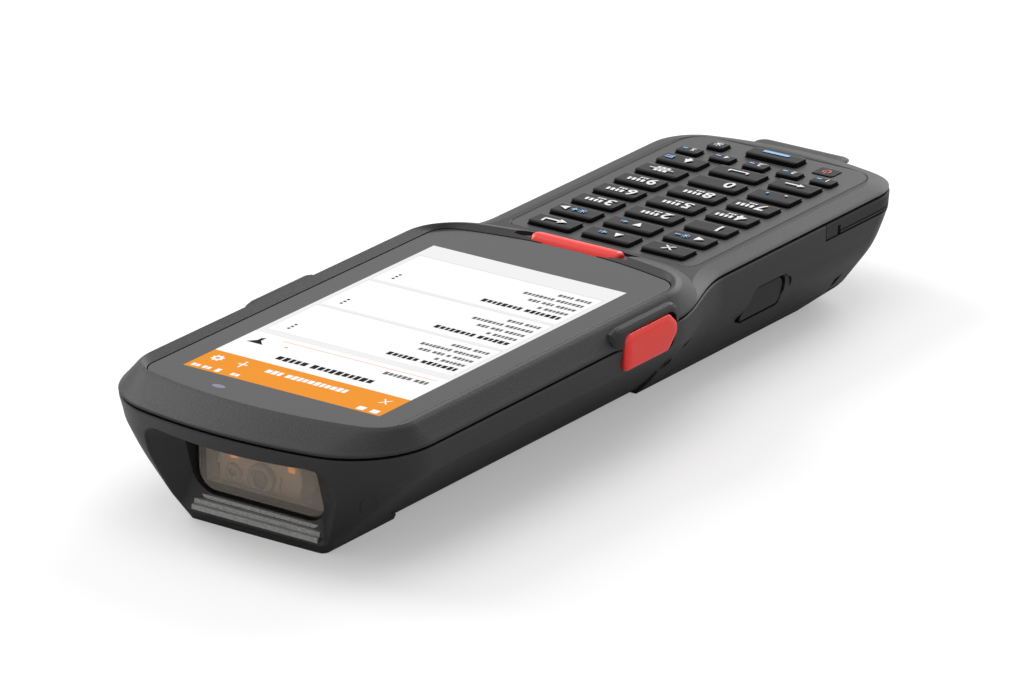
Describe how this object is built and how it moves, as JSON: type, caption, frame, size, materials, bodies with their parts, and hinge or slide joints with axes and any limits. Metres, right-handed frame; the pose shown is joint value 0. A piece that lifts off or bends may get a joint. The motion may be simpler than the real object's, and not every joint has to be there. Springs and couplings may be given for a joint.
{
  "type": "portable barcode data terminal",
  "caption": "Handheld barcode terminal with a scan window in its nose, a large touch display, a narrow keypad handle, scan keys, a port flap and a removable battery cover.",
  "frame": {"origin": "centre of the bounding box on the plane that the terminal lies on", "axes": "+Z out of the display side, +Y towards the scanner end, +X to the right of the display as read from the keypad end"},
  "size_m": [0.08, 0.2116, 0.0304],
  "materials": {
    "rear_shell": "fine texture",
    "front_shell": "fine texture",
    "rubber_seal": "matte",
    "cover_glass": "polished",
    "panel": "emissive screen",
    "steel_plate": "stamped",
    "circuit_board": "solder mask",
    "silicone": "matte",
    "dark_trim": "matte",
    "tinted_window": "tinted",
    "lens_glass": "coated",
    "battery_pack": "shrink wrapped",
    "gold_contact": "plated",
    "screw_steel": "blackened",
    "red_gloss": "glossy",
    "key_gloss": "glossy, printed legends"
  },
  "bodies": {
    "case": {"rear_housing": "rear_shell", "front_housing": "front_shell", "housing_gasket": "rubber_seal", "display_glass": "cover_glass", "display_module": "panel", "display_chassis": "steel_plate", "main_board": "circuit_board", "shield_cans": "steel_plate", "keypad_frame": "front_shell", "key_mat": "silicone", "metal_domes": "steel_plate", "keypad_board": "circuit_board", "bar_surround": "dark_trim", "side_switches": "dark_trim", "speaker": "dark_trim", "vibration_motor": "steel_plate", "scan_window": "tinted_window", "scan_engine": "dark_trim", "engine_lenses": "lens_glass", "engine_bracket": "steel_plate", "battery": "battery_pack", "battery_contacts": "gold_contact", "port_connector": "steel_plate", "tail_bumper": "rubber_seal", "screws": "screw_steel"},
    "scan_bar": {"scan_bar": "red_gloss"},
    "left_scan_key": {"left_scan_key": "red_gloss"},
    "right_side_key": {"right_side_key": "front_shell"},
    "battery_cover": {"battery_cover": "rear_shell"},
    "battery_latch": {"battery_latch": "rear_shell"},
    "port_flap": {"port_flap": "rubber_seal"},
    "key_enter": {"key_enter": "key_gloss"},
    "key_up": {"key_up": "key_gloss"},
    "key_escape": {"key_escape": "key_gloss"},
    "key_right": {"key_right": "key_gloss"},
    "key_down": {"key_down": "key_gloss"},
    "key_left": {"key_left": "key_gloss"},
    "key_3": {"key_3": "key_gloss"},
    "key_2": {"key_2": "key_gloss"},
    "key_1": {"key_1": "key_gloss"},
    "key_6": {"key_6": "key_gloss"},
    "key_5": {"key_5": "key_gloss"},
    "key_4": {"key_4": "key_gloss"},
    "key_9": {"key_9": "key_gloss"},
    "key_8": {"key_8": "key_gloss"},
    "key_7": {"key_7": "key_gloss"},
    "key_language": {"key_language": "key_gloss"},
    "key_0": {"key_0": "key_gloss"},
    "key_dot": {"key_dot": "key_gloss"},
    "key_shift": {"key_shift": "key_gloss"},
    "key_space": {"key_space": "key_gloss"},
    "key_backspace": {"key_backspace": "key_gloss"},
    "key_f1": {"key_f1": "key_gloss"},
    "key_f2": {"key_f2": "key_gloss"},
    "key_f3": {"key_f3": "key_gloss"},
    "key_f4": {"key_f4": "key_gloss"},
    "key_f5": {"key_f5": "key_gloss"},
    "key_backlight": {"key_backlight": "key_gloss"},
    "key_wide": {"key_wide": "key_gloss"},
    "key_power": {"key_power": "key_gloss"}
  },
  "joints": [
    {"name": "key_enter_press", "type": "slide", "parent": "case", "child": "key_enter", "axis": [0, 0, -1], "range_m": [0, 0.0004], "stiffness_N_per_m": 300},
    {"name": "key_up_press", "type": "slide", "parent": "case", "child": "key_up", "axis": [0, 0, -1], "range_m": [0, 0.0004], "stiffness_N_per_m": 300},
    {"name": "key_escape_press", "type": "slide", "parent": "case", "child": "key_escape", "axis": [0, 0, -1], "range_m": [0, 0.0004], "stiffness_N_per_m": 300},
    {"name": "key_right_press", "type": "slide", "parent": "case", "child": "key_right", "axis": [0, 0, -1], "range_m": [0, 0.0004], "stiffness_N_per_m": 300},
    {"name": "key_down_press", "type": "slide", "parent": "case", "child": "key_down", "axis": [0, 0, -1], "range_m": [0, 0.0004], "stiffness_N_per_m": 300},
    {"name": "key_left_press", "type": "slide", "parent": "case", "child": "key_left", "axis": [0, 0, -1], "range_m": [0, 0.0004], "stiffness_N_per_m": 300},
    {"name": "key_3_press", "type": "slide", "parent": "case", "child": "key_3", "axis": [0, 0, -1], "range_m": [0, 0.0004], "stiffness_N_per_m": 300},
    {"name": "key_2_press", "type": "slide", "parent": "case", "child": "key_2", "axis": [0, 0, -1], "range_m": [0, 0.0004], "stiffness_N_per_m": 300},
    {"name": "key_1_press", "type": "slide", "parent": "case", "child": "key_1", "axis": [0, 0, -1], "range_m": [0, 0.0004], "stiffness_N_per_m": 300},
    {"name": "key_6_press", "type": "slide", "parent": "case", "child": "key_6", "axis": [0, 0, -1], "range_m": [0, 0.0004], "stiffness_N_per_m": 300},
    {"name": "key_5_press", "type": "slide", "parent": "case", "child": "key_5", "axis": [0, 0, -1], "range_m": [0, 0.0004], "stiffness_N_per_m": 300},
    {"name": "key_4_press", "type": "slide", "parent": "case", "child": "key_4", "axis": [0, 0, -1], "range_m": [0, 0.0004], "stiffness_N_per_m": 300},
    {"name": "key_9_press", "type": "slide", "parent": "case", "child": "key_9", "axis": [0, 0, -1], "range_m": [0, 0.0004], "stiffness_N_per_m": 300},
    {"name": "key_8_press", "type": "slide", "parent": "case", "child": "key_8", "axis": [0, 0, -1], "range_m": [0, 0.0004], "stiffness_N_per_m": 300},
    {"name": "key_7_press", "type": "slide", "parent": "case", "child": "key_7", "axis": [0, 0, -1], "range_m": [0, 0.0004], "stiffness_N_per_m": 300},
    {"name": "key_language_press", "type": "slide", "parent": "case", "child": "key_language", "axis": [0, 0, -1], "range_m": [0, 0.0004], "stiffness_N_per_m": 300},
    {"name": "key_0_press", "type": "slide", "parent": "case", "child": "key_0", "axis": [0, 0, -1], "range_m": [0, 0.0004], "stiffness_N_per_m": 300},
    {"name": "key_dot_press", "type": "slide", "parent": "case", "child": "key_dot", "axis": [0, 0, -1], "range_m": [0, 0.0004], "stiffness_N_per_m": 300},
    {"name": "key_shift_press", "type": "slide", "parent": "case", "child": "key_shift", "axis": [0, 0, -1], "range_m": [0, 0.0004], "stiffness_N_per_m": 300},
    {"name": "key_space_press", "type": "slide", "parent": "case", "child": "key_space", "axis": [0, 0, -1], "range_m": [0, 0.0004], "stiffness_N_per_m": 300},
    {"name": "key_backspace_press", "type": "slide", "parent": "case", "child": "key_backspace", "axis": [0, 0, -1], "range_m": [0, 0.0004], "stiffness_N_per_m": 300},
    {"name": "key_f1_press", "type": "slide", "parent": "case", "child": "key_f1", "axis": [0, 0, -1], "range_m": [0, 0.0004], "stiffness_N_per_m": 300},
    {"name": "key_f2_press", "type": "slide", "parent": "case", "child": "key_f2", "axis": [0, 0, -1], "range_m": [0, 0.0004], "stiffness_N_per_m": 300},
    {"name": "key_f3_press", "type": "slide", "parent": "case", "child": "key_f3", "axis": [0, 0, -1], "range_m": [0, 0.0004], "stiffness_N_per_m": 300},
    {"name": "key_f4_press", "type": "slide", "parent": "case", "child": "key_f4", "axis": [0, 0, -1], "range_m": [0, 0.0004], "stiffness_N_per_m": 300},
    {"name": "key_f5_press", "type": "slide", "parent": "case", "child": "key_f5", "axis": [0, 0, -1], "range_m": [0, 0.0004], "stiffness_N_per_m": 300},
    {"name": "key_backlight_press", "type": "slide", "parent": "case", "child": "key_backlight", "axis": [0, 0, -1], "range_m": [0, 0.0004], "stiffness_N_per_m": 300},
    {"name": "key_wide_press", "type": "slide", "parent": "case", "child": "key_wide", "axis": [0, 0, -1], "range_m": [0, 0.0004], "stiffness_N_per_m": 300},
    {"name": "key_power_press", "type": "slide", "parent": "case", "child": "key_power", "axis": [0, 0, -1], "range_m": [0, 0.0004], "stiffness_N_per_m": 300},
    {"name": "scan_bar_press", "type": "slide", "parent": "case", "child": "scan_bar", "axis": [0, 0, -1], "range_m": [0, 0.0004], "stiffness_N_per_m": 500},
    {"name": "left_scan_key_press", "type": "slide", "parent": "case", "child": "left_scan_key", "axis": [1, 0, 0], "range_m": [0, 0.0006], "stiffness_N_per_m": 600},
    {"name": "right_side_key_press", "type": "slide", "parent": "case", "child": "right_side_key", "axis": [-1, 0, 0], "range_m": [0, 0.0006], "stiffness_N_per_m": 600},
    {"name": "battery_cover_drop", "type": "slide", "parent": "case", "child": "battery_cover", "axis": [0, 0, -1], "range_m": [0, 0.008]},
    {"name": "battery_latch_slide", "type": "slide", "parent": "case", "child": "battery_latch", "axis": [0, -1, 0], "range_m": [0, 0.0025]},
    {"name": "port_flap_hinge", "type": "hinge", "parent": "case", "child": "port_flap", "pos_m": [-0.03, -0.03625, 0.0152], "axis": [0, 0, -1], "range_deg": [0, 95]}
  ]
}
